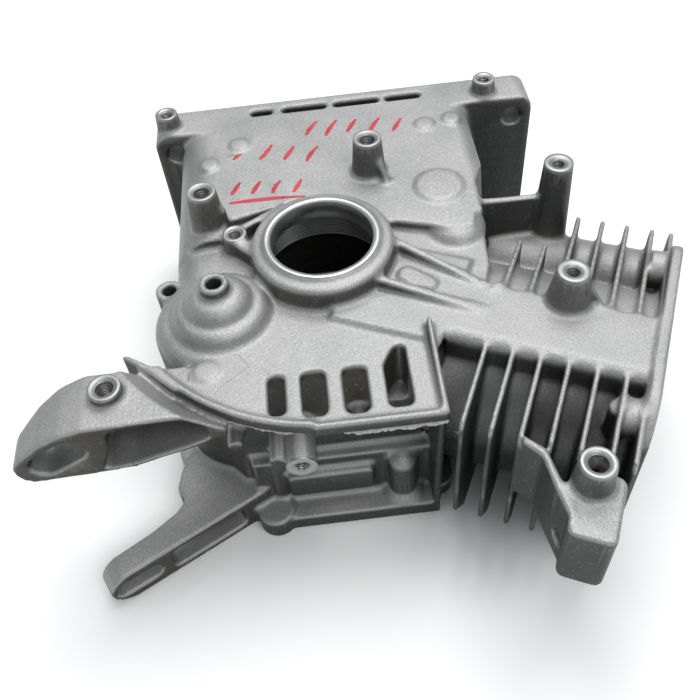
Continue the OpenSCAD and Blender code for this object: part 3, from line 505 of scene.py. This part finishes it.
def build_joint_chamfers(material):
    """Chamfers at the holes of the head and cover joints."""
    s = Solid()
    for name, mount in sorted(MOUNTS.items()):
        if name.startswith(("head_bolt", "cover_bolt")):
            top, axis = mouth(mount)
            r = mount["dims"]["r_mm"]
            s.lathe(top, axis, [(r + 1.2, -0.005), (r + 0.9, -0.005), (r + 0.05, -0.8)], 48)
    s.piece("joint_face_chamfers", material)


def build_seal_bore(material):
    """Turned rim, seal bore, shoulder and bearing seat in one profile."""
    seal = MOUNTS["crank_seal_bore"]["dims"]
    seat = MOUNTS["crank_bearing_seat"]["dims"]
    r, deep = seal["r_mm"], seal["length_mm"]
    br, bl = seat["r_mm"], seat["length_mm"]
    profile = [(br + 0.6, -deep - bl), (br, -deep - bl + 0.6)]
    steps = 11
    for i in range(steps):
        z = -deep - bl + 1.0 + (bl - 1.4) * i / steps
        profile += [(br - 0.03, z), (br - 0.03, z + 0.8), (br + 0.03, z + 0.9), (br + 0.03, z + 1.1)]
    profile += [(br, -deep), (r + 0.3, -deep), (r - 0.03, -deep + 0.3), (r - 0.03, -1.3),
                (r + 0.85, -0.01), (r + 2.55, -0.01), (r + 2.75, -0.22), (r + 2.95, -1.55), (r + 3.5, -2.04)]
    s = Solid()
    s.lathe((0, 0, 0), (0, 0, 1), profile, 160)
    s.piece("turned_crank_bore", material)


def flash_strip(solid, path, out, low, high, thick, seed):
    """A ragged fin of metal along a path, standing out by low to high mm."""
    rng = random.Random(seed)
    pts = []
    for a, b in zip(path[:-1], path[1:]):
        a, b = Vector(a), Vector(b)
        n = max(1, int((b - a).length / 0.8))
        pts += [a.lerp(b, i / n) for i in range(n)]
    pts.append(Vector(path[-1]))
    verts, value = [], 0.0
    for i, p in enumerate(pts):
        value = 0.6 * value + 0.4 * rng.random()
        reach = low + (high - low) * max(0.0, value * 1.6 - 0.35)
        if i in (0, len(pts) - 1):
            reach = 0.02
        direction = Vector(out(p)).normalized()
        lift = Vector((0, 0, thick / 2))
        root = p - direction * 0.4
        tip = p + direction * reach + Vector((0, 0, rng.uniform(-0.12, 0.12)))
        verts += [root + lift, tip, root - lift]
    faces = []
    for i in range(len(pts) - 1):
        for k in range(3):
            m = (k + 1) % 3
            faces.append((3 * i + k, 3 * i + m, 3 * i + 3 + m, 3 * i + 3 + k))
    last = 3 * (len(pts) - 1)
    faces += [(2, 1, 0), (last, last + 1, last + 2)]
    solid.add(verts, faces)


def build_flash(material):
    """Ragged flash on the plate's edges, the bracket and the barrel."""
    s = Solid()
    flash_strip(s, [(0, -84.1, -16.2), (37, -84.1, -16.2)], lambda p: (0, -1, -0.2), 0.1, 1.5, 0.6, 3)
    turns = [math.radians(a) for a in range(222, 262, 4)]
    curve = [(83.5 * math.cos(a), 83.5 * math.sin(a), -16.2) for a in turns]
    flash_strip(s, curve, lambda p: (p.x, p.y, -20), 0.05, 0.8, 0.5, 7)
    bracket = [cylinder_point(95, -60.9, -46.5), cylinder_point(103, -64, -46.5),
               cylinder_point(110.5, -76, -46.5)]
    flash_strip(s, bracket, lambda p: (0, 0, -1), 0.1, 1.6, 0.5, 11)
    barrel = [cylinder_point(59, -41.6, -52), cylinder_point(72, -41.6, -50)]
    flash_strip(s, barrel, lambda p: -ACROSS, 0.1, 1.4, 0.5, 13)
    s.piece("parting_flash", material, smooth=False)


def build_witness_lines(material):
    """Fine raised seams that mould inserts leave on the shroud plate."""
    s = Solid()
    foot, ridge = SHROUD_TOP - 0.1, SHROUD_TOP + 0.17
    for line in WITNESS:
        for a, b in zip(line[:-1], line[1:]):
            a, b = Vector((*a, 0)), Vector((*b, 0))
            side = (b - a).normalized().cross(Vector((0, 0, 1))) * 0.17
            s.add([(*(a - side).xy, foot), (*(b - side).xy, foot), (*b.xy, ridge), (*a.xy, ridge),
                   (*(a + side).xy, foot), (*(b + side).xy, foot)],
                  [(0, 1, 2, 3), (3, 2, 5, 4), (0, 3, 4), (1, 5, 2), (0, 4, 5, 1)])
    s.piece("insert_seams", material, smooth=False)


def build_marker(material):
    """Plain red marker strokes, without letters or digits, on the sump's flat top."""
    s = Solid()
    rng = random.Random(21)
    for (x0, y0), (x1, y1) in MARKS:
        a, b = Vector((x0, y0, 0)), Vector((x1, y1, 0))
        n = 14
        bend = rng.uniform(-0.8, 0.8)
        across = (b - a).normalized().cross(Vector((0, 0, 1)))
        verts, faces = [], []
        for i in range(n + 1):
            t = i / n
            c = a.lerp(b, t) + across * bend * math.sin(math.pi * t)
            swell = 0.55 + 0.45 * math.sin(math.pi * min(1, t * 1.15))
            half = 1.15 * swell * rng.uniform(0.86, 1.1)
            verts += [(*(c - across * half).xy, SUMP_TOP), (*(c + across * half).xy, SUMP_TOP)]
            if i:
                faces.append((2 * i - 2, 2 * i - 1, 2 * i + 1, 2 * i))
        s.add(verts, faces)
    s.piece("marker_strokes", material, smooth=False)


def marker_material():
    m = Nodes("red_marker")
    grain = m.noise(1500, 3.0, 0.6)
    cloud = m.noise(160, 3.0, 0.5)
    colour = m.mix(m.ramp(cloud, 0.3, 0.7), rgb(0.46, 0.012, 0.03), rgb(0.58, 0.05, 0.08))
    m.set(Base_Color=colour, Roughness=0.5, Alpha=m.ramp(grain, 0.3, 0.52, 0.45, 0.95))
    return m.mat


# ---------------------------------------------------------------- stage
def build_stage():
    mesh = bpy.data.meshes.new("floor")
    size, z = 6.0, CAD_BOX[0][2]
    corners = [(-size, -size, z), (size, -size, z), (size, size, z), (-size, size, z)]
    mesh.from_pydata(corners, [], [(0, 1, 2, 3)])
    floor = bpy.data.objects.new("floor", mesh)
    bpy.context.scene.collection.objects.link(floor)
    m = Nodes("floor_paper")
    soft = m.noise(3.0, 2.0, 0.5)
    tint = m.mix(m.ramp(soft, 0.3, 0.7), rgb(0.90, 0.90, 0.90), rgb(0.93, 0.93, 0.93))
    m.set(Base_Color=tint, Roughness=0.85)
    mesh.materials.append(m.mat)


def area(name, place, size, watts):
    """A round soft light that looks at the part."""
    light = bpy.data.lights.new(name, "AREA")
    light.shape = "DISK"
    light.size = size
    light.energy = watts
    holder = bpy.data.objects.new(name, light)
    holder.location = place
    holder.rotation_euler = (Vector(LIGHT_TARGET) - Vector(place)).to_track_quat("-Z", "Y").to_euler()
    bpy.context.scene.collection.objects.link(holder)


def build_lights():
    area("soft_above", (0.15, 0.45, 1.4), 1.2, 20)
    area("front_fill", (0.55, -0.85, 1.35), 0.9, 9)
    world = bpy.data.worlds.new("studio")
    world.use_nodes = True
    back = world.node_tree.nodes["Background"]
    back.inputs[0].default_value = (0.93, 0.95, 0.97, 1)
    back.inputs[1].default_value = 0.45
    bpy.context.scene.world = world
    bpy.context.scene.view_settings.view_transform = "Standard"


def build_camera():
    camera = bpy.data.cameras.new("camera")
    holder = bpy.data.objects.new("camera", camera)
    bpy.context.scene.collection.objects.link(holder)
    bpy.context.scene.camera = holder
    camera.sensor_width = SENSOR
    camera.lens = LENS
    camera.clip_start = 0.01
    azimuth, elevation, roll = (math.radians(a) for a in CAMERA_ANGLES)
    back = Vector((math.sin(azimuth) * math.cos(elevation), -math.cos(azimuth) * math.cos(elevation),
                   math.sin(elevation)))
    right = (-back).cross(Vector((0, 0, 1))).normalized()
    up = right.cross(-back)
    x = math.cos(roll) * right - math.sin(roll) * up
    y = math.sin(roll) * right + math.cos(roll) * up
    pose = Matrix((x, y, back)).transposed().to_4x4()
    pose.translation = Vector(CAMERA_PLACE) * MM
    holder.matrix_world = pose


def main():
    cast = cast_material()
    bright = turned_material()
    build_casting(cast)
    build_boss_tops(turned_material("faced_aluminium", (0.36, 0.365, 0.36), 0.42))
    build_joint_chamfers(bright)
    build_seal_bore(bright)
    build_threads(plain_metal("thread_metal", (0.62, 0.62, 0.62), (0.35, 0.35, 0.34), 0.3))
    build_flash(cast)
    build_witness_lines(cast)
    build_marker(marker_material())
    looks = {
        "cylinder_liner": iron_material(),
        "drain_plug": plain_metal("plated_steel", (0.55, 0.55, 0.53), (0.36, 0.35, 0.33), 0.3),
        "drain_washer": plain_metal("soft_washer", (0.62, 0.42, 0.25), (0.5, 0.33, 0.2), 0.35),
    }
    for name, node in frame["nodes"].items():
        for start, material in looks.items():
            if name.startswith(start):
                node.data.materials[0] = material
    build_stage()
    build_lights()
    build_camera()


main()
